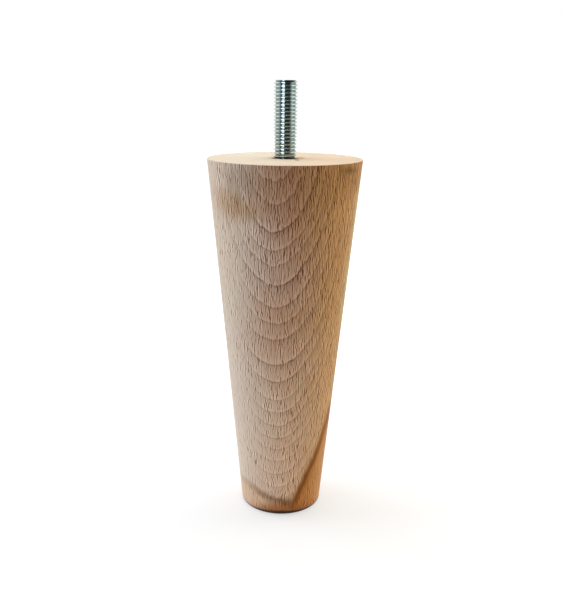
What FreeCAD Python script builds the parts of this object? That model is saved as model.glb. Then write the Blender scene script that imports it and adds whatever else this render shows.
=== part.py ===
"""Tapered beech furniture leg with a steel hanger bolt.

The leg is one turned piece: a straight taper that stands on its narrow end, with a rounded foot
edge and a stepped blind bore in the middle of its top face. The hanger bolt is the second piece:
its wood thread is driven into the pilot bore, its plain collar sits in the counterbore, and its
machine thread stands up out of the top face. Both threads are drawn as plain round stretches, the
machine thread at its outside diameter and the wood thread at its mean diameter.

Millimetres, +Z up, origin at the centre of the foot.
"""

import FreeCAD, Part
import os
import Sketcher

# Driving dimensions of the leg and of the bolt in it
SIZES = (
    ("leg_height", 160.0),  # foot to top face
    ("top_diameter", 66.5),  # taper at the top face
    ("foot_diameter", 36.5),  # taper at the floor, before the foot edge is rounded
    ("foot_edge_radius", 1.5),
    ("top_edge_radius", 0.4),  # sanded top edge
    ("thread_diameter", 10.0),  # outside of the machine thread
    ("stud_projection", 32.0),  # machine thread, from the top face to the tip
    ("stud_tip_chamfer", 0.8),
    ("collar_step", 0.5),  # machine thread down to the plain collar, on the radius
    ("collar_length", 4.0),
    ("shank_step", 0.5),  # collar down to the wood-thread shank, on the radius
    ("wood_thread_length", 43.0),  # shank in the wood, with its point
    ("point_length", 9.0),
    ("point_tip_diameter", 1.0),
    ("mouth_clearance", 0.25),  # counterbore past the machine thread, on the radius
    ("mouth_chamfer", 0.6),  # countersink at the mouth of the bore
    ("pilot_clearance", 0.02),  # wood round the shank, on the radius
    ("pilot_overrun", 2.0),  # bore drilled past the bolt's point
    ("drill_point_angle", 118.0),  # degrees, included angle of the bore's end
)

SHEET = "Sizes"

# Radii and depths that both pieces share, as expressions on the sheet
THREAD_RADIUS = "(Sizes.thread_diameter / 2)"
COLLAR_RADIUS = f"({THREAD_RADIUS} - Sizes.collar_step)"
SHANK_RADIUS = f"({COLLAR_RADIUS} - Sizes.shank_step)"
COUNTERBORE_RADIUS = f"({THREAD_RADIUS} + Sizes.mouth_clearance)"
PILOT_RADIUS = f"({SHANK_RADIUS} + Sizes.pilot_clearance)"
COUNTERBORE_DEPTH = "(Sizes.collar_step + Sizes.collar_length + Sizes.shank_step)"
BOLT_DEPTH = f"({COUNTERBORE_DEPTH} + Sizes.wood_thread_length)"


def add_sizes(doc):
    """The sheet of driving dimensions: names in column A, numbers with aliases in column B."""
    sheet = doc.addObject("Spreadsheet::Sheet", SHEET)
    for row, (alias, value) in enumerate(SIZES, start=1):
        sheet.set(f"A{row}", alias)
        sheet.set(f"B{row}", str(value))
        sheet.setAlias(f"B{row}", alias)
    doc.recompute()
    return sheet


def add_half_section(body, name, corners):
    """A closed outline in the XZ plane, with each corner held by its own two expressions.

    corners: (name, distance from the axis, height), in order round the outline. The corners are
    drawn first on a rough curve, and their expressions then bring them into place.
    """
    sketch = body.newObject("Sketcher::SketchObject", name)
    plane = next(f for f in body.Origin.OriginFeatures if f.Role == "XZ_Plane")
    sketch.AttachmentSupport = [(plane, "")]
    sketch.MapMode = "FlatFace"
    count = len(corners)
    rough = [FreeCAD.Vector(1 + i, 1 + i * i, 0) for i in range(count)]
    for i, point in enumerate(rough):
        sketch.addGeometry(Part.LineSegment(point, rough[(i + 1) % count]), False)
    for i in range(count):
        sketch.addConstraint(Sketcher.Constraint("Coincident", i, 2, (i + 1) % count, 1))
    for i, (corner, x, z) in enumerate(corners):
        for kind, axis, place, expression in (
            ("DistanceX", "x", rough[i].x, x),
            ("DistanceY", "z", rough[i].y, z),
        ):
            index = sketch.addConstraint(Sketcher.Constraint(kind, -1, 1, i, 1, place))
            sketch.renameConstraint(index, f"{corner}_{axis}")
            sketch.setExpression(f"Constraints.{corner}_{axis}", expression)
    return sketch


def turn(body, kind, name, sketch):
    """Turns a half section about the Z axis: Revolution adds it, Groove cuts it away."""
    feature = body.newObject(f"PartDesign::{kind}", name)
    feature.Profile = sketch
    feature.ReferenceAxis = (sketch, ["V_Axis"])
    feature.Angle = 360.0
    sketch.Visibility = False
    body.Document.recompute()
    return feature


def end_rim(feature, pick):
    """Name of a turned feature's lowest or highest circular edge: pick is min or max."""
    circles = {
        f"Edge{index}": edge.Curve.Center.z
        for index, edge in enumerate(feature.Shape.Edges, start=1)
        if isinstance(edge.Curve, Part.Circle)
    }
    return pick(circles, key=circles.get)


def dress_end(body, kind, name, pick, size, alias):
    """A Fillet or Chamfer on one end rim of the body so far, with its size bound to the sheet."""
    base = body.Tip
    feature = body.newObject(f"PartDesign::{kind}", name)
    feature.Base = (base, [end_rim(base, pick)])
    feature.setExpression(size, f"Sizes.{alias}")
    body.Document.recompute()
    return feature


def add_leg(doc):
    """The turned leg: taper, rounded edges, and the stepped bore that holds the bolt."""
    body = doc.addObject("PartDesign::Body", "Leg")
    body.Label = "leg_body"
    taper = add_half_section(
        body,
        "TaperSection",
        (
            ("foot_centre", "0", "0"),
            ("foot_edge", "Sizes.foot_diameter / 2", "0"),
            ("top_edge", "Sizes.top_diameter / 2", "Sizes.leg_height"),
            ("top_centre", "0", "Sizes.leg_height"),
        ),
    )
    turn(body, "Revolution", "Taper", taper)
    dress_end(body, "Fillet", "FootRounding", min, "Radius", "foot_edge_radius")
    dress_end(body, "Fillet", "TopEdge", max, "Radius", "top_edge_radius")
    counterbore_floor = f"Sizes.leg_height - {COUNTERBORE_DEPTH}"
    pilot_end = f"Sizes.leg_height - {BOLT_DEPTH} - Sizes.pilot_overrun"
    drill_point = f"{pilot_end} - {PILOT_RADIUS} / tan(Sizes.drill_point_angle * 0.5 deg)"
    bore = add_half_section(
        body,
        "BoreSection",
        (
            ("mouth_centre", "0", "Sizes.leg_height"),
            ("mouth_edge", f"{COUNTERBORE_RADIUS} + Sizes.mouth_chamfer", "Sizes.leg_height"),
            ("counterbore_top", COUNTERBORE_RADIUS, "Sizes.leg_height - Sizes.mouth_chamfer"),
            ("counterbore_foot", COUNTERBORE_RADIUS, counterbore_floor),
            ("pilot_top", PILOT_RADIUS, counterbore_floor),
            ("pilot_foot", PILOT_RADIUS, pilot_end),
            ("drill_point", "0", drill_point),
        ),
    )
    turn(body, "Groove", "Bore", bore)
    return body


def add_hanger_bolt(doc):
    """The bolt, drawn up from its point and set in the bore so that its thread starts at the face."""
    body = doc.addObject("PartDesign::Body", "HangerBolt")
    body.Label = "hanger_bolt"
    collar_foot = "Sizes.wood_thread_length + Sizes.shank_step"
    section = add_half_section(
        body,
        "BoltSection",
        (
            ("point_centre", "0", "0"),
            ("point_rim", "Sizes.point_tip_diameter / 2", "0"),
            ("shank_foot", SHANK_RADIUS, "Sizes.point_length"),
            ("shank_top", SHANK_RADIUS, "Sizes.wood_thread_length"),
            ("collar_foot", COLLAR_RADIUS, collar_foot),
            ("collar_top", COLLAR_RADIUS, f"{collar_foot} + Sizes.collar_length"),
            ("thread_foot", THREAD_RADIUS, BOLT_DEPTH),
            ("stud_edge", THREAD_RADIUS, f"{BOLT_DEPTH} + Sizes.stud_projection"),
            ("stud_centre", "0", f"{BOLT_DEPTH} + Sizes.stud_projection"),
        ),
    )
    turn(body, "Revolution", "BoltBlank", section)
    dress_end(body, "Chamfer", "StudTip", max, "Size", "stud_tip_chamfer")
    body.setExpression("Placement.Base.z", f"Sizes.leg_height - {BOLT_DEPTH}")
    return body


def check(doc, pieces):
    """Stops before anything is written if an object failed or a piece isn't one valid solid."""
    for item in doc.Objects:
        if {"Invalid", "Error"} & set(item.State):
            raise RuntimeError(f"{item.Name} failed: {item.State}")
    for piece in pieces:
        shape = piece.Shape
        if shape.isNull() or not shape.isValid() or len(shape.Solids) != 1:
            raise RuntimeError(f"{piece.Label} is not one valid solid")


def main():
    doc = FreeCAD.newDocument("TaperedLeg")
    add_sizes(doc)
    pieces = (add_leg(doc), add_hanger_bolt(doc))
    doc.recompute()
    check(doc, pieces)
    os.makedirs("parts", exist_ok=True)
    for piece in pieces:
        piece.Shape.exportStep(f"parts/{piece.Label}.step")
        box = piece.Shape.BoundBox
        print(f"{piece.Label}: {piece.Shape.Volume:.1f} mm3, z {box.ZMin:.2f} to {box.ZMax:.2f}")


main()
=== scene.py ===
"""Looks of a tapered beech furniture leg with a zinc-plated hanger bolt.

The turned leg and the bolt's threads are Geometry Nodes meshes in the CAD frame. The beech is a
solid wood: growth layers, rays and a brown heart streak are worked out at each point of the block,
so that long grain, side grain and end grain all come from the same piece of wood.

Metres in the scene, millimetres in the named sizes and in the wood.
"""

import math
from collections import namedtuple
from types import SimpleNamespace

import bmesh
import bpy
from mathutils import Matrix, Vector


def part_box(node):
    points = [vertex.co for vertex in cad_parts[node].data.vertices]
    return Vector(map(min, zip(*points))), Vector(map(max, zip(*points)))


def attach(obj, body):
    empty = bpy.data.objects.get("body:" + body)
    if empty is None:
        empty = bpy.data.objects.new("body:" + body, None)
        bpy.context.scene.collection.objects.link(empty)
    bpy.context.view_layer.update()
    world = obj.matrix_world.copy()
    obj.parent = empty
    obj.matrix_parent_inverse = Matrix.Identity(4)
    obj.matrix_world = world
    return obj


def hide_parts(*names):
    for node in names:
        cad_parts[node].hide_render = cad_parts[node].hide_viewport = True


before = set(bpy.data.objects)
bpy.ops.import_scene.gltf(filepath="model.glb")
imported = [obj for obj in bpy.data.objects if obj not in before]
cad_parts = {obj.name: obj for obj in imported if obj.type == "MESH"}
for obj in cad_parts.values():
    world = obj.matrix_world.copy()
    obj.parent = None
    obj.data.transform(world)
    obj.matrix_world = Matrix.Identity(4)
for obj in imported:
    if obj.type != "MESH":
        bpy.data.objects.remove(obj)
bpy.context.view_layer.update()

MM = 0.001
_, LEG_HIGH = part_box("leg_body")
BOLT_LOW, BOLT_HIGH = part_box("hanger_bolt")

# Leg, with lengths in mm
HEIGHT = LEG_HIGH.z / MM
TOP_RADIUS = 33.25
FOOT_RADIUS = 18.25
TAPER = (TOP_RADIUS - FOOT_RADIUS) / HEIGHT
FOOT_ROUNDING = 1.5
TOP_ROUNDING = 0.4
ROUNDING_STEPS = 8
BORE_RADIUS = 5.25
BORE_DEPTH = 5.0
MOUTH_CHAMFER = 0.6
MOUTH_TEAR = 1.6  # torn fibres at the mouth of the bore
MOUTH_LUMPS = 4  # size of the pattern of the tear round the mouth
PILOT_RADIUS = 4.02
PILOT_END = 110.0
DRILL_POINT = 107.6
LEG_SEGMENTS = 288
LEG_CREASE = 35  # degrees past which an edge stays sharp
LEG_SIZES = {
    "Height": HEIGHT,
    "Top Radius": TOP_RADIUS,
    "Foot Radius": FOOT_RADIUS,
    "Foot Rounding": FOOT_ROUNDING,
    "Top Rounding": TOP_ROUNDING,
    "Bore Radius": BORE_RADIUS,
    "Bore Depth": BORE_DEPTH,
    "Mouth Chamfer": MOUTH_CHAMFER,
    "Mouth Tear": MOUTH_TEAR,
    "Pilot Radius": PILOT_RADIUS,
    "Pilot End": PILOT_END,
    "Drill Point": DRILL_POINT,
    "Segments": LEG_SEGMENTS,
}

# Hanger bolt, with lengths in mm
STUD_RADIUS = 5.0
STUD_PITCH = 1.5
THREAD_DEPTH = 0.54 * STUD_PITCH  # with 60 degree flanks
THREAD_RUN_OUT = 0.4  # height over which the thread starts at the top face
FLANK = (0.18, 0.83)  # shares of half a pitch at which a flank leaves the root and meets the crest
STUD_TIP = BOLT_HIGH.z / MM
STUD_CHAMFER = 0.8
COLLAR_RADIUS = 4.5
COLLAR_SUNK = 0.5  # depth of the collar's top under the top face
COLLAR_LENGTH = 4.0
COLLAR_TOP = HEIGHT - COLLAR_SUNK
COLLAR_FOOT = COLLAR_TOP - COLLAR_LENGTH
COLLAR_STEP = 0.5  # height of the step under the collar
WOOD_THREAD_ROOT = 3.4
WOOD_THREAD_DEPTH = 1.2
WOOD_THREAD_PITCH = 3.5
POINT = BOLT_LOW.z / MM
POINT_LENGTH = 9.0
POINT_RADIUS = 0.5
ROWS_A_TURN = 16
TURNS_BELOW = 2  # whole turns of the grid past the point, which are folded onto it
TURNS_ABOVE = 1
BOLT_COLUMNS = 96
BOLT_CREASE = 40
BOLT_SIZES = {
    "Face": HEIGHT,
    "Tip": STUD_TIP,
    "Point": POINT,
    "Stud Radius": STUD_RADIUS,
    "Stud Pitch": STUD_PITCH,
    "Thread Depth": THREAD_DEPTH,
    "Chamfer": STUD_CHAMFER,
    "Collar Radius": COLLAR_RADIUS,
    "Collar Top": COLLAR_TOP,
    "Collar Foot": COLLAR_FOOT,
    "Wood Root": WOOD_THREAD_ROOT,
    "Wood Depth": WOOD_THREAD_DEPTH,
    "Wood Pitch": WOOD_THREAD_PITCH,
    "Point Length": POINT_LENGTH,
    "Point Radius": POINT_RADIUS,
    "Rows": ROWS_A_TURN,
    "Columns": BOLT_COLUMNS,
}

# Limits for points of a mesh: mm for a weld and for the mouth's edge, rows for the bolt's caps
WELD = 0.002
SAME_RADIUS = 0.01
SAME_ROW = 0.1

# Growth layers of the block that the leg was turned from, in mm
PITH_BEHIND = 60.0  # pith of the trunk, behind the leg's axis
PITH_SIDE = 8.0
FRONT = 27.0  # about the front of the leg, where distances round the pith are true
LEAN = 0.225  # slope of the layers against the axis at the foot
LEAN_ENDS = 161.0  # height at which they run along the axis
# Heights at which the dark line of each layer crosses the front of the leg
LAYER_HEIGHTS = (
    15, 21.5, 28.5, 34.5, 40, 46.5, 53, 59, 67.5, 75,
    87, 94, 101.5, 111.5, 120, 126, 134.5, 146.5, 154.5,
)
LAYER_SPAN = (-40.0, 80.0)  # nearest and farthest layer on the curve that counts them
LAYER_COUNT = 100  # layers in the whole height of that curve
LAYER_WANDER = 0.8
LAYER_FLUTTER = 0.36

# Parts of a growth layer, as shares of its width: where each starts and where it is full
LAYER_BEGINS = (0.0, 0.015)
EARLY_WOOD = (0.3, 0.03)
LATE_WOOD = (0.4, 0.97)
DARK_LINE = (0.84, 0.955)
LAYER_ENDS = (1.0, 0.975)

# Arches that the dark lines draw on the front of the leg, with edges as shares of its radius
ARCH_MIDDLE = -2.5
ARCH_LEFT = (-0.7, -0.25)
ARCH_RIGHT = (0.7, 0.25)
ARCH_REACH = 0.14  # how much farther round the leg they go at the top
ARCH_RISE = (80.0, 135.0)  # heights over which they come to that
LATE_RIGHT = (-0.6, 0.2)  # late wood grows stronger to the right
LINE_DARK = 0.62
LATE_DARK = 0.32
LAYER_STRENGTHS = (0.6, 1.1)  # of the weakest layer and the strongest
RING_RISE = (5.0, 110.0)  # heights over which the rings come to their full strength

# Rays: width, depth and height of a ray's cell in mm, size in the cell, share left out, shift of the kind
Rays = namedtuple("Rays", "width depth height size rare shift")
FINE_RAYS = Rays(0.36, 6.0, 3.4, 0.38, 0.35, 11.0)
STRONG_RAYS = Rays(0.46, 9.0, 4.2, 0.38, 0.52, 3.0)
TALL_RAYS = Rays(0.5, 9.0, 12.0, 0.3, 0.78, 7.0)
RAY_CORE = 0.6  # part of a ray that has its full strength
RAY_SLANT = (0.06, 0.5)  # how squarely the surface cuts the rays, from hardly at all to enough

# Strands of fibre: width, depth and length in mm, and what each mark adds to light and dark
STRAND_WIDTH = 0.22
STRAND_DEPTH = 2.4
STRAND_LENGTH = 10.0
FIBRE_LIGHT = 1.7
FINE_DARK = 2.8
STRONG_DARK = 8.8
EARLY_LIGHT = 0.25
NEIGHBOUR = 0.45  # distance to the strands on both sides that a strand is set off against
NEIGHBOUR_SHARE = 0.24
TONE_LEVEL = 0.14
TONE_DARKEST, TONE_LIGHTEST = -0.88, 0.65
STRANDS_RIGHT = (-0.9, 0.3)  # shares of the radius over which the strands come out
STRANDS_RISE = (10.0, 170.0)  # heights over which they come out

# Brown heart streak through the foot, in mm: a steep plane on the right, a shallow one on the left
STEEP_FOOT = 3.0  # where the steep plane meets the floor
STEEP_RISE = 2.28  # its rise for each mm to the right
STEEP_CLIMB = 4.2  # how much higher it runs at the right edge
STEEP_BEND = (15.0, 21.0)  # places to the right over which it climbs
SHALLOW_HEIGHT = 7.6
SHALLOW_FALL = 0.36
BACK_RISE = 0.8  # rise of both planes behind the axis
STREAK_WAVER = 3.4
STREAK_MEETING = (3.0, 7.0)  # places over which the left side turns into the right

# Parts of the streak by depth under its planes, in mm: where each starts and where it is full
HEART_DEPTH = (-2.5, 2.6)
STAIN_OUTSIDE = (-7.5, -1.0)
STAIN_INSIDE = (10.0, 3.0)
RIGHT_OUTSIDE = (-5.0, 0.2)
RIGHT_WIDTHS = (4.8, 7.8)  # at the foot and higher up
RIGHT_INSIDE = 0.6
LEFT_OUTSIDE = (-2.6, 0.0)
LEFT_INSIDE = (3.6, 0.4)

# Zones of the leg in mm, to the right or up: where each starts and where it is full
FOOT_TO_TOP = (20.0, 165.0)
GREY_SIDE = (6.0, -24.0)
GOLD_SIDE = (-2.0, 24.0)
# Painted sheen: a pale band along the right rim and round the back, standing in for light from behind on
# the edge
RIM_SHEEN_FOOT = (55.0, 115.0)
RIM_SHEEN_TOP = (160.0, 138.0)
RIM_SHEEN_SIDE = (0.84, 1.04)  # as shares of the radius
TOP_MIDDLE_LEFT = (-19.0, -11.0)
TOP_MIDDLE_RIGHT = (20.0, 12.0)
TOP_MIDDLE_RISE = (134.0, 150.0)
TOP_RIGHT_SIDE = (10.0, 24.0)
TOP_RIGHT_RISE = (141.0, 154.0)
# Painted shadow line along the rounded foot, between these heights
FOOT_SHADOW_ZONE = (2.9, 1.7)
# Painted shade on the top face round the stud, and in the bore
MOUTH_SHADE_ZONE = (9.0, 5.5)  # distances from the axis
BORE_SHADE_ZONE = (6.2, 5.5)

# Plain colours of the wood, in display values from 0 to 255. A pair is at the foot and at the top.
PINK_WOOD = ((214, 177, 144), (178, 132, 100))
GREY_WOOD = ((213, 196, 178), (208, 188, 167))
GOLD_WOOD = ((198, 151, 99), (186, 136, 82))
HEART_BROWN = (185, 113, 45)
HEART_RIM = (199, 139, 78)
HEART_LEFT = (214, 160, 112)
TOP_BROWN = (150, 98, 44)
END_GRAIN = (224, 210, 189)

# Stains, and painted light and shade, over the plain colours: strength, and a colour in display values
Stain = namedtuple("Stain", "strength colour")
# Painted sheen along the right rim
RIGHT_RIM_SHEEN = Stain(0.75, (206, 182, 136))
TOP_MIDDLE = Stain(0.28, TOP_BROWN)
TOP_RIGHT = Stain(0.35, TOP_BROWN)
HEART_MIDDLE = Stain(0.88, (157, 92, 40))
RINGS = Stain(0.9, (102, 64, 38))
STREAK_STAIN = Stain(0.46, (160, 100, 24))
STREAK_RIGHT = Stain(0.93, (129, 67, 0))
STREAK_LEFT = Stain(0.78, (112, 72, 34))
# Painted shadow under the rounded foot edge
FOOT_SHADOW = Stain(0.94, (44, 26, 18))
END_RINGS = Stain(0.5, (206, 170, 132))
END_RAYS = Stain(0.3, (196, 158, 120))
END_PORES = Stain(0.3, (214, 184, 148))
END_RIGHT = Stain(0.6, (226, 196, 164))
# Painted shade on the top face round the stud
MOUTH_SHADE = Stain(0.4, (186, 146, 104))
# Painted shade in the bore
BORE_SHADE = Stain(0.85, (74, 50, 32))

# Soft patches on the side of the leg: place, width and height in mm, fall to the right, and the stain
Patch = namedtuple("Patch", "place width height fall stain")
GREY_PATCH = Patch((-17.0, -27.0, 153.0), 11.0, 12.0, 0.0, Stain(0.42, (136, 108, 76)))
WARM_PATCH = Patch((-19.0, -25.0, 142.2), 18.0, 8.0, 0.12, Stain(0.6, (164, 116, 56)))
DARK_PATCH = Patch((26.5, -20.0, 157.0), 7.0, 2.6, 0.1, Stain(0.9, (108, 74, 34)))

# Wood torn by the drill, on the top face: place, width and length in mm, and the stain
Tear = namedtuple("Tear", "place width length stain")
TEARS = (
    Tear((4.9, -8.4), 1.6, 3.4, Stain(0.8, (112, 78, 46))),
    Tear((7.0, 2.0), 1.8, 6.0, Stain(0.5, (186, 142, 98))),
)

# Zinc plate: two plain colours, and the stains and painted shade over them
ZINC_LIGHT = (214, 222, 221)
ZINC_DULL = (197, 207, 205)
# Grime and painted shade in the thread's roots
ZINC_ROOT_GRIME_AND_SHADE = Stain(0.7, (100, 112, 111))
# Painted shadow on the plate at the top face and in the bore's mouth
ZINC_MOUTH_SHADOW = Stain(0.85, (58, 58, 54))
ZINC_SAWN = Stain(1.0, (158, 166, 164))
ZINC_MOTTLE = 1.6  # size of its mottle in mm

# What the metal shows of the studio, by bearing in degrees from the front, plus to the right
ROOM = (0.21, 0.22, 0.21)
STRIP_LIGHT = (0.94, 1.0, 1.07)
STUDIO_BEARINGS = (
    (-180, ROOM),
    (-145, ROOM),
    (-110, (0.32, 0.32, 0.30)),
    (-76, (0.31, 0.33, 0.33)),
    (-62, (0.06, 0.10, 0.12)),
    (-46, (0.02, 0.05, 0.07)),
    (-37, STRIP_LIGHT),
    (-19, STRIP_LIGHT),
    (-10, (0.03, 0.04, 0.046)),
    (48, (0.026, 0.032, 0.032)),
    (66, (0.20, 0.22, 0.21)),
    (84, (0.44, 0.46, 0.43)),
    (105, (0.27, 0.28, 0.26)),
    (140, ROOM),
    (180, ROOM),
)
STUDIO_LEVEL = 4.1
FILL_LEVEL = 0.295
OVERHEAD = (0.4, 0.8)  # upward part of a direction, over which the studio turns dark
OVERHEAD_DARK = 0.99
STRIP_LEFT = (-0.42, -0.36)  # edges of the strip light overhead, in parts of a direction
STRIP_RIGHT = (-0.16, -0.22)
STRIP_BACK = (0.04, -0.04)

# Softboxes: name, bearing in degrees, height, distance and size in metres, level, colour
SOFTBOXES = (
    ("left_softbox", -105, 0.35, 0.7, 0.6, 0.66, (0.91, 0.98, 1.08)),
    ("right_softbox", 115, 0.3, 0.7, 0.5, 0.5, (1.0, 0.95, 0.74)),
    ("top_softbox", 180, 0.8, 0.1, 0.5, 0.66, (1.0, 0.98, 0.95)),
)
FLOOR_SIZE = 3.0  # half of its side, in metres
FLOOR_GREY = (0.5, 0.5, 0.5, 1.0)
FLOOR_FADE = (60.0, 260.0)  # distances from the axis in mm, for the two pairs below
FLOOR_SEEN = (0.55, 1.05)  # glow that the camera sees
FLOOR_GLOW = (0.52, 0.2)  # glow that lights the leg
WHITE = (1.0, 1.0, 1.0, 1.0)

# Camera, in mm and degrees
CAMERA_PLACE = (-0.94, -333.1, 188.6)
CAMERA_DOWN = 15.346
CAMERA_ROLL = 0.699
CAMERA_LENS = 46.24


def linear(colour):
    """A colour in display values from 0 to 255, as the linear colour that a shader takes."""
    shares = [channel / 255 for channel in colour]
    curve = [s / 12.92 if s <= 0.04045 else ((s + 0.055) / 1.055) ** 2.4 for s in shares]
    return (*curve, 1.0)


class Value:
    """A socket of a node tree. Arithmetic on it adds Math nodes."""

    def __init__(self, graph, socket):
        self.graph = graph
        self.socket = socket

    def __add__(self, other):
        return self.graph.maths("ADD", self, other)

    def __sub__(self, other):
        return self.graph.maths("SUBTRACT", self, other)

    def __rsub__(self, other):
        return self.graph.maths("SUBTRACT", other, self)

    def __mul__(self, other):
        return self.graph.maths("MULTIPLY", self, other)

    def __truediv__(self, other):
        return self.graph.maths("DIVIDE", self, other)

    def __neg__(self):
        return self.graph.maths("MULTIPLY", self, -1.0)

    __radd__ = __add__
    __rmul__ = __mul__

    def span(self, low, high):
        """A value that goes from low to high as this one goes from 0 to 1."""
        return self * (high - low) + low


class Graph:
    """Adds nodes to one tree, of a material or of a geometry."""

    def __init__(self, tree):
        self.tree = tree

    def node(self, kind, settings=None, sockets=None):
        """A node of that type: its settings first, then the values or links of its sockets."""
        node = self.tree.nodes.new(kind)
        for name, value in (settings or {}).items():
            if name == "curve":
                self.set_curve(node.mapping, value)
            elif name == "stops":
                self.set_stops(node.color_ramp, value)
            elif name == "items":
                for _ in range(value - len(node.index_switch_items)):
                    node.index_switch_items.new()
            else:
                setattr(node, name, value)
        for name, value in (sockets or {}).items():
            self.feed(node.inputs[name], value)
        return node

    def set_stops(self, ramp, stops):
        """Gives a colour ramp its stops, each a place and a colour."""
        while len(ramp.elements) < len(stops):
            ramp.elements.new(1.0)
        for element, (place, colour) in zip(ramp.elements, stops):
            element.position = place
            element.color = colour

    def set_curve(self, mapping, points):
        """Straight runs between the points, going on past both ends."""
        mapping.use_clip = False
        mapping.extend = "EXTRAPOLATED"
        curve = mapping.curves[0]
        while len(curve.points) < len(points):
            curve.points.new(0.5, 0.5)
        for point, place in zip(curve.points, points):
            point.location = place
            point.handle_type = "VECTOR"
        mapping.update()

    def feed(self, socket, value):
        """Sets a socket to a number, vector, colour or data-block, or links a value to it."""
        if isinstance(value, Value):
            self.tree.links.new(value.socket, socket)
        else:
            socket.default_value = value

    def value(self, kind, settings=None, sockets=None, output=0):
        """One output of a new node, as a value."""
        return Value(self, self.node(kind, settings, sockets).outputs[output])

    def maths(self, operation, *numbers):
        """A Math node's result."""
        return self.value("ShaderNodeMath", {"operation": operation}, dict(enumerate(numbers)))

    def vector(self, x, y, z):
        return self.value("ShaderNodeCombineXYZ", None, {"X": x, "Y": y, "Z": z})

    def split(self, vector):
        """The three numbers of a vector or colour."""
        node = self.node("ShaderNodeSeparateXYZ", None, {"Vector": vector})
        return [Value(self, socket) for socket in node.outputs]

    def ramp(self, value, start, end):
        """0 at start and before it, 1 at end and past it, smooth between. Start may be the larger."""
        sockets = {"Value": value, "From Min": start, "From Max": end}
        return self.value("ShaderNodeMapRange", {"interpolation_type": "SMOOTHSTEP"}, sockets)

    def noise(self, vector, detail=2.0, roughness=0.5):
        """Noise about zero, with lumps about one unit across."""
        sockets = {"Vector": vector, "Scale": 1.0, "Detail": detail, "Roughness": roughness}
        return self.value("ShaderNodeTexNoise", None, sockets) - 0.5

    def mix(self, share, start, end):
        """A colour that turns from start to end as the share goes from 0 to 1."""
        node = self.node("ShaderNodeMix", {"data_type": "RGBA", "clamp_factor": True})
        inputs = {socket.identifier: socket for socket in node.inputs}
        for name, value in (("Factor_Float", share), ("A_Color", start), ("B_Color", end)):
            self.feed(inputs[name], value)
        outputs = {socket.identifier: socket for socket in node.outputs}
        return Value(self, outputs["Result_Color"])

    def stain(self, base, share, stain):
        """A colour with an overlay over it, for stains and for painted light and shade, which has its full
        strength where the share is 1.
        """
        return self.mix(share * stain.strength, base, linear(stain.colour))

    def millimetres(self):
        """The point's own place in the piece, as x, y and z in mm."""
        place = self.value("ShaderNodeTexCoord", output="Object")
        sockets = {0: place, "Scale": 1 / MM}
        return self.split(self.value("ShaderNodeVectorMath", {"operation": "SCALE"}, sockets))


def new_material(name):
    """A material with an empty tree, as (material, graph)."""
    material = bpy.data.materials.new(name)
    material.use_nodes = True
    material.node_tree.nodes.clear()
    return material, Graph(material.node_tree)


def set_surface(graph, shader):
    """Makes a shader the surface of the graph's material."""
    output = graph.node("ShaderNodeOutputMaterial")
    graph.feed(output.inputs["Surface"], shader)


def lean_at(height):
    """How far the growth layers have leaned out at a height, for a number or a value of a tree."""
    share = height * (1 / LEAN_ENDS)
    return height * LEAN - share * share * height * (LEAN / 3)


def layer_curve():
    """Points from a growth layer's distance, as a share of the span, to its count as a share."""
    start, end = LAYER_SPAN
    points = []
    for count, height in enumerate(LAYER_HEIGHTS):
        layer = FOOT_RADIUS + TAPER * height + lean_at(height)
        points.append(((layer - start) / (end - start), 0.5 + count / LAYER_COUNT))
    return points


class Block:
    """The block of beech at one point: its place, in mm, and what more than one feature reads there."""

    def __init__(self, graph):
        self.graph = graph
        self.x, self.y, self.z = graph.millimetres()
        self.radius = graph.maths("SQRT", self.x * self.x + self.y * self.y)
        self.behind = graph.maths("MAXIMUM", self.y, 0.0)
        self.side = self.x - PITH_SIDE
        self.depth = PITH_BEHIND - self.y
        self.away = graph.maths("SQRT", self.side * self.side + self.depth * self.depth)
        self.stem = self.away - math.hypot(PITH_BEHIND, PITH_SIDE) + lean_at(self.z)
        drift = self.lumps(6, 18, 1.0) * 1.2
        self.round_pith = graph.maths("ARCTAN2", self.side, self.depth) * (PITH_BEHIND + FRONT) + drift
        self.wander = self.lumps(13, 34)
        self.flutter = self.lumps(1.3, 6)
        self.cloud = self.lumps(22, 45, 3.0)
        self.patchy = self.lumps(9, 16) * 2.0 + 0.9

    def lumps(self, across, along, detail=2.0):
        """Noise about zero, with lumps so many mm across the leg and along it."""
        place = self.graph.vector(self.x / across, self.y / across, self.z / along)
        return self.graph.noise(place, detail)


def growth_layers(block):
    """Pale early wood, late wood, the dark line that ends a layer, and a chance number for each layer."""
    graph = block.graph
    layer = block.stem + block.wander * LAYER_WANDER + block.flutter * LAYER_FLUTTER
    start, end = LAYER_SPAN
    sockets = {"Value": (layer - start) / (end - start)}
    count = graph.value("ShaderNodeFloatCurve", {"curve": layer_curve()}, sockets) * LAYER_COUNT
    sockets = {"W": graph.maths("FLOOR", count)}
    chance = graph.value("ShaderNodeTexWhiteNoise", {"noise_dimensions": "1D"}, sockets)
    phase = graph.maths("FRACT", count)
    early = graph.ramp(phase, *EARLY_WOOD) * graph.ramp(phase, *LAYER_BEGINS)
    ends = graph.ramp(phase, *LAYER_ENDS)
    late = graph.ramp(phase, *LATE_WOOD) * ends
    line = graph.ramp(phase, *DARK_LINE) * ends

    # The line is broken along its run and fades where the leg turns away from the front
    broken = graph.ramp(block.lumps(1.7, 4), -0.2, 0.14)
    facing = (block.x - ARCH_MIDDLE) / block.radius
    reach = graph.ramp(block.z, *ARCH_RISE) * ARCH_REACH
    face_on = graph.ramp(facing + reach, *ARCH_LEFT) * graph.ramp(facing - reach, *ARCH_RIGHT)
    line = line * broken.span(0.25, 1.0) * face_on.span(0.05, 1.0)
    late = late * graph.ramp(facing, *LATE_RIGHT).span(0.2, 1.0)
    return early, late, line, chance


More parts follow.
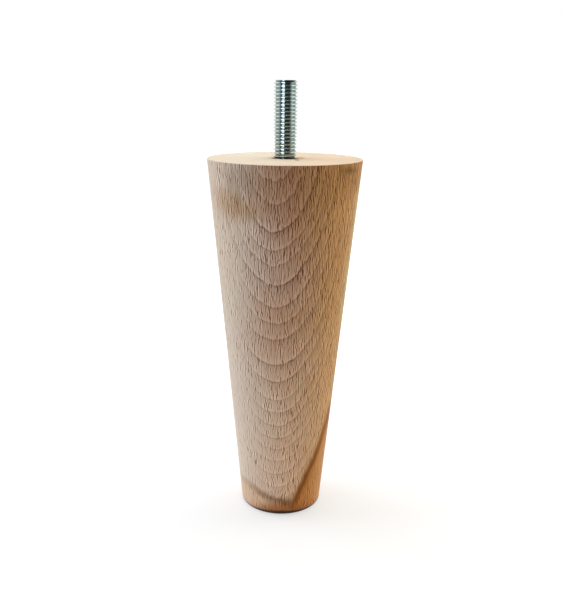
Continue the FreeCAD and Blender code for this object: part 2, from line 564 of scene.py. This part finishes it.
def rays(block, around, kind):
    """One kind of ray: thin across the grain, a few millimetres tall, long towards the pith."""
    graph = block.graph
    cell = graph.vector(
        around / kind.width + kind.shift,
        block.away / kind.depth + kind.shift,
        block.z / kind.height,
    )
    node = graph.node("ShaderNodeTexVoronoi", None, {"Vector": cell, "Scale": 1.0})
    strength = graph.split(Value(graph, node.outputs["Color"]))[0]
    spindle = graph.ramp(Value(graph, node.outputs["Distance"]), kind.size, kind.size * RAY_CORE)
    return spindle * graph.ramp(strength, kind.rare, 1.0)


def figure(block, aside):
    """Fibre, fine rays, strong rays and all three as light and dark, at a distance round the pith."""
    graph = block.graph
    around = block.round_pith + aside
    strand = graph.vector(around / STRAND_WIDTH, block.stem / STRAND_DEPTH, block.z / STRAND_LENGTH)
    fibre = graph.noise(strand, 0.0)
    fine = rays(block, around, FINE_RAYS)
    strong = rays(block, around, STRONG_RAYS) * block.patchy + rays(block, around, TALL_RAYS)
    return fibre, fine, strong, fibre * FIBRE_LIGHT - fine * FINE_DARK - strong * STRONG_DARK


def grain_marks(block):
    """The marks of the grain: early wood, ring lines, rings, fibre, rays and light and dark strands."""
    graph = block.graph
    early, late, line, chance = growth_layers(block)
    fibre, fine, strong, strands = figure(block, 0.0)
    line = line * graph.ramp(fibre, 0.16, -0.14).span(0.4, 1.2)
    rings = (line * LINE_DARK + late * LATE_DARK) * chance.span(*LAYER_STRENGTHS)
    beside = figure(block, NEIGHBOUR)[3] + figure(block, -NEIGHBOUR)[3]
    across = (block.x * block.side - block.y * block.depth) / (block.radius * block.away)
    return SimpleNamespace(
        early=early,
        line=line,
        rings=rings * graph.ramp(block.z, *RING_RISE).span(0.4, 1.0),
        fibre=fibre,
        fine=fine,
        strong=strong,
        strands=strands - beside * NEIGHBOUR_SHARE,
        # Rays show their ends where the surface cuts across them, and hardly show along them
        ray_ends=graph.ramp(graph.maths("ABSOLUTE", across), *RAY_SLANT).span(0.25, 1.0),
    )


def heart_streak(block, fibre):
    """Where the brown heart runs through the foot, with its dark edges."""
    graph, x, z = block.graph, block.x, block.z
    waver = block.lumps(5, 9) * STREAK_WAVER + block.flutter * STREAK_WAVER + fibre * 2.2
    steep = (x - STEEP_FOOT) * STEEP_RISE + graph.ramp(x, *STEEP_BEND) * STEEP_CLIMB
    shallow = SHALLOW_HEIGHT - x * SHALLOW_FALL
    below = graph.maths("MAXIMUM", steep, shallow) + block.behind * BACK_RISE + waver - z
    on_right = graph.ramp(x, *STREAK_MEETING)
    width = graph.ramp(z, 18.0, 34.0).span(*RIGHT_WIDTHS)
    edge_right = graph.ramp(below, *RIGHT_OUTSIDE) * graph.ramp(below, width, RIGHT_INSIDE) * on_right
    edge_left = graph.ramp(below, *LEFT_OUTSIDE) * graph.ramp(below, *LEFT_INSIDE) * (1.0 - on_right)
    edge_left = edge_left * graph.ramp(fibre, 0.16, -0.12).span(0.65, 1.0)
    return SimpleNamespace(
        on_right=on_right,
        inside=graph.ramp(below, *HEART_DEPTH),
        stain=graph.ramp(below, *STAIN_OUTSIDE) * graph.ramp(below, *STAIN_INSIDE) * on_right,
        edge_right=edge_right * graph.ramp(z, 46.0, 24.0).span(0.7, 1.0),
        edge_left=edge_left * graph.ramp(x, -19.0, -5.0).span(0.3, 1.0),
        middle=graph.ramp(graph.maths("ABSOLUTE", x - 1.0) * 0.5 + z + waver * 0.5, 12.5, 4.5),
    )


def plain_wood(block):
    """The wood between its marks: pink in the middle, grey to the left, gold to the right, with a painted
    sheen along the right rim.
    """
    graph, x, z, cloud = block.graph, block.x, block.z, block.cloud
    rise = graph.ramp(z + cloud * 60, *FOOT_TO_TOP)
    pairs = (PINK_WOOD, GREY_WOOD, GOLD_WOOD)
    pink, grey, gold = [graph.mix(rise, linear(foot), linear(top)) for foot, top in pairs]
    wood = graph.mix(graph.ramp(x + cloud * 16, *GREY_SIDE), pink, grey)
    wood = graph.mix(graph.ramp(x + cloud * 16, *GOLD_SIDE), wood, gold)
    # Painted sheen: paler wood along the right rim and round the back, where light from behind catches the
    # edge
    rim_sheen = graph.ramp((x + block.behind * 0.9) / block.radius + cloud * 0.25, *RIM_SHEEN_SIDE)
    rim_sheen = rim_sheen * graph.ramp(z + cloud * 50, *RIM_SHEEN_FOOT) * graph.ramp(z + cloud * 20, *RIM_SHEEN_TOP)
    return graph.stain(wood, rim_sheen, RIGHT_RIM_SHEEN)


def stain_patch(block, fibre, wood, patch):
    """A soft patch about a place on the leg, ragged along the grain."""
    graph = block.graph
    across, back, up = patch.place
    reach = (
        (block.x - across) / patch.width,
        (block.y - back) / patch.width,
        (block.z - up + (block.x - across) * patch.fall) / patch.height,
    )
    distance = graph.maths("SQRT", sum(part * part for part in reach))
    share = graph.ramp(distance + block.wander * 1.2 + fibre * 1.2, 1.1, 0.1)
    return graph.stain(wood, share, patch.stain)


def stained_wood(block, fibre, heart):
    """The plain wood with its patches, its darker top and the brown heart."""
    graph, x, z = block.graph, block.x, block.z
    wood = plain_wood(block)
    for patch in (GREY_PATCH, WARM_PATCH):
        wood = stain_patch(block, fibre, wood, patch)
    middle = graph.ramp(x, *TOP_MIDDLE_LEFT) * graph.ramp(x, *TOP_MIDDLE_RIGHT)
    wood = graph.stain(wood, middle * graph.ramp(z, *TOP_MIDDLE_RISE), TOP_MIDDLE)
    right = graph.ramp(x, *TOP_RIGHT_SIDE)
    wood = graph.stain(wood, right * graph.ramp(z, *TOP_RIGHT_RISE), TOP_RIGHT)
    wood = stain_patch(block, fibre, wood, DARK_PATCH)
    rim = graph.ramp(x / block.radius, 0.6, 1.0)
    brown = graph.mix(rim, linear(HEART_BROWN), linear(HEART_RIM))
    brown = graph.mix(heart.on_right, linear(HEART_LEFT), brown)
    wood = graph.mix(heart.inside * heart.on_right.span(0.4, 0.85), wood, brown)
    return graph.stain(wood, heart.middle, HEART_MIDDLE)


def long_grain(block, grain, heart):
    """The side of the leg: stained wood, light and dark strands, rings, the edges of the heart and a
    painted shadow line along the foot.
    """
    graph, x, z = block.graph, block.x, block.z
    wood = stained_wood(block, grain.fibre, heart)

    # Strands are calmer on the left, towards the foot and inside the heart
    marked = graph.ramp(x / block.radius, *STRANDS_RIGHT).span(0.3, 1.18)
    marked = marked * graph.ramp(z, *STRANDS_RISE).span(0.45, 1.35)
    marked = marked * (1.0 - heart.inside * heart.on_right * 0.45)
    tone = (grain.strands + TONE_LEVEL + grain.early * EARLY_LIGHT) * marked
    tone = graph.maths("MAXIMUM", tone, TONE_DARKEST)
    tone = graph.maths("MINIMUM", tone, TONE_LIGHTEST) * grain.ray_ends
    pale = graph.maths("MAXIMUM", tone, 0.0)
    shade = graph.vector(tone * 0.78 + 1.0, tone + 1.0, tone * 1.12 + pale * 0.3 + 1.0)
    wood = graph.value("ShaderNodeVectorMath", {"operation": "MULTIPLY"}, {0: wood, 1: shade})

    wood = graph.stain(wood, grain.rings, RINGS)
    wood = graph.stain(wood, heart.stain, STREAK_STAIN)
    wood = graph.stain(wood, heart.edge_right, STREAK_RIGHT)
    wood = graph.stain(wood, heart.edge_left, STREAK_LEFT)
    # Painted shadow: a dark line along the rounded foot, where it meets the floor
    foot_shadow = graph.ramp(z + graph.maths("ABSOLUTE", x) * 0.07, *FOOT_SHADOW_ZONE)
    return graph.stain(wood, foot_shadow, FOOT_SHADOW)


def cut_ends(block, grain, wood):
    """End grain on the top face and the foot, torn wood and painted shade round the mouth, and painted
    shade in the bore.
    """
    graph, x, y, z = block.graph, block.x, block.y, block.z
    pores = graph.ramp(block.lumps(0.35, 8), 0.0, 0.3)
    cut = graph.stain(linear(END_GRAIN), grain.rings, END_RINGS)
    cut = graph.stain(cut, grain.strong + grain.fine * 0.5, END_RAYS)
    cut = graph.stain(cut, pores, END_PORES)
    cut = graph.stain(cut, graph.ramp(x + y * 0.2, -8.0, 12.0), END_RIGHT)
    top = graph.ramp(z, HEIGHT - 0.25, HEIGHT - 0.05)
    foot = graph.ramp(z, 0.06, 0.02)
    wood = graph.mix(graph.maths("MAXIMUM", top, foot), wood, cut)
    on_top = graph.ramp(z, HEIGHT - 1.0, HEIGHT - 0.1)
    for tear in TEARS:
        reach = ((x - tear.place[0]) / tear.width, (y - tear.place[1]) / tear.length)
        distance = graph.maths("SQRT", sum(part * part for part in reach))
        torn = graph.ramp(distance + block.flutter * 1.5, 1.0, 0.4)
        wood = graph.stain(wood, torn * on_top, tear.stain)
    # Painted shade on the top face round the stud
    wood = graph.stain(wood, graph.ramp(block.radius, *MOUTH_SHADE_ZONE) * on_top, MOUTH_SHADE)
    # Painted shade down the bore's wall, under the top face
    bore_shade = graph.ramp(block.radius, *BORE_SHADE_ZONE) * graph.ramp(z, HEIGHT, HEIGHT - 0.7)
    return graph.stain(wood, bore_shade, BORE_SHADE)


def beech():
    """Bare sanded beech."""
    material, graph = new_material("beech")
    block = Block(graph)
    grain = grain_marks(block)
    heart = heart_streak(block, grain.fibre)
    wood = cut_ends(block, grain, long_grain(block, grain, heart))
    height = (grain.fibre * 0.5 - grain.strong - grain.fine * 0.5) * grain.ray_ends - grain.line * 0.25
    bump = graph.value("ShaderNodeBump", None, {"Strength": 0.3, "Distance": 0.05 * MM, "Height": height})
    sockets = {
        "Base Color": wood,
        "Roughness": 0.58 - grain.strong * 0.1 + grain.fibre * 0.12,
        "Specular IOR Level": 0.12,
        "Sheen Weight": 0.12,
        "Sheen Roughness": 0.2,
        "Normal": bump,
    }
    set_surface(graph, graph.value("ShaderNodeBsdfPrincipled", None, sockets))
    return material


def zinc_plate():
    """Bright zinc plate, with grime and painted shade in the thread's roots, a painted shadow at the top
    face and in the bore's mouth, and dull on the sawn tip.
    """
    material, graph = new_material("zinc_plated_steel")
    x, y, z = graph.millimetres()
    radius = graph.maths("SQRT", x * x + y * y)
    mottle = graph.noise(graph.vector(*[place / ZINC_MOTTLE for place in (x, y, z)]), 3.0, 0.6)
    # Grime and painted shade: darker plate in the thread's roots
    root = graph.ramp(radius, STUD_RADIUS - 0.3, STUD_RADIUS - 0.8)
    # Painted shadow: darker plate from just above the top face down into the bore
    mouth_shadow = graph.ramp(z, HEIGHT + 1.0, HEIGHT + 0.3)
    sawn = graph.ramp(z, STUD_TIP - 0.1, STUD_TIP - 0.03)
    plate = graph.mix(mottle * 1.2 + 0.5, linear(ZINC_LIGHT), linear(ZINC_DULL))
    plate = graph.stain(plate, root, ZINC_ROOT_GRIME_AND_SHADE)
    plate = graph.stain(plate, mouth_shadow, ZINC_MOUTH_SHADOW)
    plate = graph.stain(plate, sawn, ZINC_SAWN)
    sockets = {
        "Base Color": plate,
        "Metallic": 1.0 - sawn * 0.8,
        "Roughness": 0.06 + mottle * 0.06 + sawn * 0.4,
    }
    set_surface(graph, graph.value("ShaderNodeBsdfPrincipled", None, sockets))
    return material


def new_tree(name, sizes):
    """A geometry tree with one number input for each size, and a material: (tree, graph, inputs)."""
    tree = bpy.data.node_groups.new(name, "GeometryNodeTree")
    tree.interface.new_socket("Geometry", in_out="OUTPUT", socket_type="NodeSocketGeometry")
    for size in sizes:
        tree.interface.new_socket(size, in_out="INPUT", socket_type="NodeSocketFloat")
    tree.interface.new_socket("Material", in_out="INPUT", socket_type="NodeSocketMaterial")
    graph = Graph(tree)
    source = graph.node("NodeGroupInput")
    inputs = {socket.name: Value(graph, socket) for socket in source.outputs if socket.name}
    return tree, graph, inputs


def end_tree(graph, geometry, material):
    """Closes poles and seams, shades the mesh smooth and gives it its material."""
    sockets = {"Geometry": geometry, "Distance": WELD * MM}
    closed = graph.value("GeometryNodeMergeByDistance", None, sockets)
    smooth = graph.value("GeometryNodeSetShadeSmooth", None, {"Geometry": closed})
    real = graph.value("GeometryNodeRealizeInstances", None, {"Geometry": smooth})
    dressed = graph.value("GeometryNodeSetMaterial", None, {"Geometry": real, "Material": material})
    output = graph.node("NodeGroupOutput")
    graph.feed(output.inputs["Geometry"], dressed)


def grid_shares(graph):
    """The place of a unit grid's point: share across the columns and share up the rows."""
    x, y, _ = graph.split(graph.value("GeometryNodeInputPosition"))
    return x + 0.5, y + 0.5


def wrap(graph, grid, share, radius, height):
    """Wraps a grid round the axis: share of a turn, radius and height, in mm, to a place in metres."""
    angle = share * math.tau
    across = graph.maths("COSINE", angle) * radius * MM
    along = graph.maths("SINE", angle) * radius * MM
    place = graph.vector(across, along, height * MM)
    return graph.value("GeometryNodeSetPosition", None, {"Geometry": grid, "Position": place})


def leg_tree():
    """The leg's half section, rounded at its edges and turned round the axis."""
    tree, graph, size = new_tree("turned_leg", LEG_SIZES)
    mouth = size["Bore Radius"] + size["Mouth Chamfer"]
    floor = size["Height"] - size["Bore Depth"]
    corners = (
        (0.0, 0.0, 0.0),
        (size["Foot Radius"], 0.0, size["Foot Rounding"]),
        (size["Top Radius"], size["Height"], size["Top Rounding"]),
        (mouth, size["Height"], 0.0),
        (size["Bore Radius"], size["Height"] - size["Mouth Chamfer"], 0.0),
        (size["Bore Radius"], floor, 0.0),
        (size["Pilot Radius"], floor, 0.0),
        (size["Pilot Radius"], size["Pilot End"], 0.0),
        (0.0, size["Drill Point"], 0.0),
    )
    index = graph.value("GeometryNodeInputIndex")
    places = {str(i): graph.vector(r, z, 0.0) for i, (r, z, _) in enumerate(corners)}
    roundings = {str(i): rounding for i, (_, _, rounding) in enumerate(corners)}
    settings = {"data_type": "VECTOR", "items": len(corners)}
    place = graph.value("GeometryNodeIndexSwitch", settings, {"Index": index, **places})
    settings = {"data_type": "FLOAT", "items": len(corners)}
    rounding = graph.value("GeometryNodeIndexSwitch", settings, {"Index": index, **roundings})
    line = graph.value("GeometryNodeMeshLine", None, {"Count": len(corners)})
    line = graph.value("GeometryNodeSetPosition", None, {"Geometry": line, "Position": place})
    section = graph.value("GeometryNodeMeshToCurve", None, {"Mesh": line})
    sockets = {"Curve": section, "Count": ROUNDING_STEPS, "Radius": rounding, "Limit Radius": True}
    section = graph.value("GeometryNodeFilletCurve", {"mode": "POLY"}, sockets)

    sockets = {"Geometry": section}
    rows = graph.value("GeometryNodeAttributeDomainSize", {"component": "CURVE"}, sockets, "Point Count")
    sockets = {"Size X": 1.0, "Size Y": 1.0, "Vertices X": size["Segments"] + 1, "Vertices Y": rows}
    grid = graph.value("GeometryNodeMeshGrid", None, sockets)
    turn, rise = grid_shares(graph)
    row = graph.maths("ROUND", rise * (rows - 1))
    sockets = {"Geometry": section, "Value": graph.value("GeometryNodeInputPosition"), "Index": row}
    point = graph.value("GeometryNodeSampleIndex", {"data_type": "FLOAT_VECTOR"}, sockets)
    radius, height, _ = graph.split(point)

    angle = turn * math.tau
    rim = [graph.maths(name, angle) * MOUTH_LUMPS for name in ("COSINE", "SINE")]
    at_mouth = graph.maths("COMPARE", radius, mouth, SAME_RADIUS)
    torn = graph.noise(graph.vector(*rim, 0.0), 3.0) * size["Mouth Tear"] * at_mouth
    leg = wrap(graph, grid, turn, radius + torn, height)
    end_tree(graph, leg, size["Material"])
    return tree


def bolt_tree():
    """A grid that winds up the bolt along its threads, so that each row of points keeps to one helix."""
    tree, graph, size = new_tree("hanger_bolt", BOLT_SIZES)
    lowest = (size["Point"] - size["Face"]) / size["Wood Pitch"]
    highest = (size["Tip"] - size["Face"]) / size["Stud Pitch"]
    first = graph.maths("FLOOR", lowest) - TURNS_BELOW
    turns = graph.maths("CEIL", highest) + TURNS_ABOVE - first
    rows = turns * size["Rows"]
    sockets = {"Size X": 1.0, "Size Y": 1.0, "Vertices X": size["Columns"] + 1, "Vertices Y": rows + 1}
    grid = graph.value("GeometryNodeMeshGrid", None, sockets)
    share, rise = grid_shares(graph)
    row = graph.maths("ROUND", rise * rows)
    wound = row / size["Rows"] + first + share
    wound = graph.maths("MINIMUM", graph.maths("MAXIMUM", wound, lowest), highest)
    above = graph.maths("MAXIMUM", wound, 0.0)
    under = graph.maths("MINIMUM", wound, 0.0)
    height = size["Face"] + above * size["Stud Pitch"] + under * size["Wood Pitch"]

    phase = graph.maths("FRACT", wound - share)
    swing = graph.maths("ABSOLUTE", phase - 0.5) * 2
    sockets = {"Value": swing, "From Min": FLANK[0], "From Max": FLANK[1]}
    ridge = graph.value("ShaderNodeMapRange", None, sockets)
    stud_root = size["Stud Radius"] - size["Thread Depth"]
    on_stud = graph.ramp(height, size["Collar Top"], size["Face"] + THREAD_RUN_OUT)
    in_wood = graph.ramp(height, size["Collar Foot"], size["Collar Foot"] - COLLAR_STEP)
    pointed = graph.ramp(height, size["Point"] + size["Point Length"], size["Point"])
    core = size["Collar Radius"] + (stud_root - size["Collar Radius"]) * on_stud
    core = core + (size["Wood Root"] - size["Collar Radius"]) * in_wood
    core = core + (size["Point Radius"] - size["Wood Root"]) * pointed
    depth = size["Thread Depth"] * on_stud + size["Wood Depth"] * in_wood * (1.0 - pointed)
    chamfer = size["Stud Radius"] - size["Chamfer"] + size["Tip"] - height
    radius = graph.maths("MINIMUM", core + ridge * depth, chamfer)
    capped = graph.maths("COMPARE", row, 0.0, SAME_ROW) + graph.maths("COMPARE", row, rows, SAME_ROW)
    bolt = wrap(graph, grid, share, radius * (1.0 - capped), height)
    end_tree(graph, bolt, size["Material"])
    return tree


def grow(name, tree, sizes, material, crease):
    """A piece made by a geometry tree from sizes in mm: a plain mesh with outward faces."""
    seed = bpy.data.objects.new(name, bpy.data.meshes.new(name + "_seed"))
    bpy.context.scene.collection.objects.link(seed)
    modifier = seed.modifiers.new("shape", "NODES")
    modifier.node_group = tree
    for item in tree.interface.items_tree:
        if item.in_out == "INPUT":
            modifier[item.identifier] = material if item.name == "Material" else float(sizes[item.name])
    bpy.context.view_layer.update()
    grown = seed.evaluated_get(bpy.context.evaluated_depsgraph_get())
    mesh = bpy.data.meshes.new_from_object(grown)
    seed.modifiers.clear()
    seed.data = mesh
    mesh.name = name
    work = bmesh.new()
    work.from_mesh(mesh)
    bmesh.ops.recalc_face_normals(work, faces=work.faces)
    work.to_mesh(mesh)
    work.free()
    mesh.set_sharp_from_angle(angle=math.radians(crease))
    return seed


def dress(piece, node):
    """Puts a piece in the place of a CAD node, whose part it hides, on the one body."""
    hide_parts(node)
    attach(piece, "root")


def add_leg():
    leg = grow("turned_leg", leg_tree(), LEG_SIZES, beech(), LEG_CREASE)
    dress(leg, "leg_body")


def add_bolt():
    bolt = grow("threaded_bolt", bolt_tree(), BOLT_SIZES, zinc_plate(), BOLT_CREASE)
    dress(bolt, "hanger_bolt")


def light_path(graph):
    """1 for the camera's own rays, for rays that metal throws back and for rays through glass, else 0."""
    node = graph.node("ShaderNodeLightPath")
    kinds = ("Is Camera Ray", "Is Glossy Ray", "Is Transmission Ray")
    return [Value(graph, node.outputs[kind]) for kind in kinds]


def add_floor():
    """A pale floor, white to the camera apart from the shadow close to the leg."""
    material, graph = new_material("studio_floor")
    x, y, _ = graph.millimetres()
    far = graph.ramp(graph.maths("SQRT", x * x + y * y), *FLOOR_FADE)
    camera, glossy, through = light_path(graph)
    seen = graph.maths("MAXIMUM", graph.maths("MAXIMUM", camera, glossy), through)
    strength = seen * far.span(*FLOOR_SEEN) + (1.0 - seen) * far.span(*FLOOR_GLOW)
    diffuse = graph.value("ShaderNodeBsdfDiffuse", None, {"Color": FLOOR_GREY})
    glow = graph.value("ShaderNodeEmission", None, {"Strength": strength})
    set_surface(graph, graph.value("ShaderNodeAddShader", None, {0: diffuse, 1: glow}))
    mesh = bpy.data.meshes.new("studio_floor")
    work = bmesh.new()
    bmesh.ops.create_grid(work, x_segments=1, y_segments=1, size=FLOOR_SIZE)
    work.to_mesh(mesh)
    work.free()
    mesh.materials.append(material)
    floor = bpy.data.objects.new("studio_floor", mesh)
    floor.visible_glossy = False
    bpy.context.scene.collection.objects.link(floor)


def add_world():
    """White to the camera, a dim fill for surfaces, and a studio with one strip light for the metal."""
    world = bpy.data.worlds.new("studio")
    bpy.context.scene.world = world
    world.use_nodes = True
    world.node_tree.nodes.clear()
    graph = Graph(world.node_tree)
    camera, glossy, through = light_path(graph)
    x, y, z = graph.split(graph.value("ShaderNodeTexCoord", output="Generated"))
    bearing = graph.maths("ARCTAN2", x, -y) * (1 / math.tau) + 0.5
    stops = [((degrees + 180) / 360, (*colour, 1.0)) for degrees, colour in STUDIO_BEARINGS]
    studio = graph.value("ShaderNodeValToRGB", {"stops": stops}, {"Fac": bearing})

    # The room is dark overhead, apart from the end of the strip light, which the thread's flanks show
    overhead = graph.ramp(z, *OVERHEAD)
    across = graph.ramp(x, *STRIP_LEFT) * graph.ramp(x, *STRIP_RIGHT)
    strip = across * graph.ramp(y, *STRIP_BACK) * overhead
    studio = graph.mix(strip, studio, (*STRIP_LIGHT, 1.0))
    seen = graph.maths("MAXIMUM", camera, through)
    colour = graph.mix(glossy, WHITE, studio)
    reflected = glossy * graph.maths("MAXIMUM", 1.0 - overhead * OVERHEAD_DARK, strip) * STUDIO_LEVEL
    strength = (1.0 - glossy) * seen.span(FILL_LEVEL, 1.0) + reflected
    background = graph.value("ShaderNodeBackground", None, {"Color": colour, "Strength": strength})
    output = graph.node("ShaderNodeOutputWorld")
    graph.feed(output.inputs["Surface"], background)


def add_softbox(name, bearing, height, distance, size, level, colour):
    """A square soft light aimed at the leg. Bearing is in degrees from the front, plus to the right."""
    lamp = bpy.data.lights.new(name, "AREA")
    lamp.shape = "SQUARE"
    lamp.size = size
    lamp.color = colour
    aim = Vector((0.0, 0.0, HEIGHT / 2 * MM))
    turn = math.radians(bearing)
    place = Vector((math.sin(turn) * distance, -math.cos(turn) * distance, height))
    lamp.energy = level * (math.pi * (place - aim).length) ** 2
    light = bpy.data.objects.new(name, lamp)
    light.location = place
    light.rotation_euler = (aim - place).to_track_quat("-Z", "Y").to_euler()
    light.visible_glossy = False
    bpy.context.scene.collection.objects.link(light)


def add_camera():
    """A camera in front of the leg, a little above its top and tilted down."""
    camera = bpy.data.cameras.new("camera")
    camera.lens = CAMERA_LENS
    holder = bpy.data.objects.new("camera", camera)
    bpy.context.scene.collection.objects.link(holder)
    tilt = Matrix.Rotation(math.radians(90 - CAMERA_DOWN), 4, "X")
    roll = Matrix.Rotation(math.radians(CAMERA_ROLL), 4, "Z")
    holder.matrix_world = Matrix.Translation(Vector(CAMERA_PLACE) * MM) @ tilt @ roll
    bpy.context.scene.camera = holder


def main():
    add_leg()
    add_bolt()
    add_floor()
    add_world()
    for softbox in SOFTBOXES:
        add_softbox(*softbox)
    add_camera()
    bpy.context.scene.view_settings.view_transform = "Standard"


main()
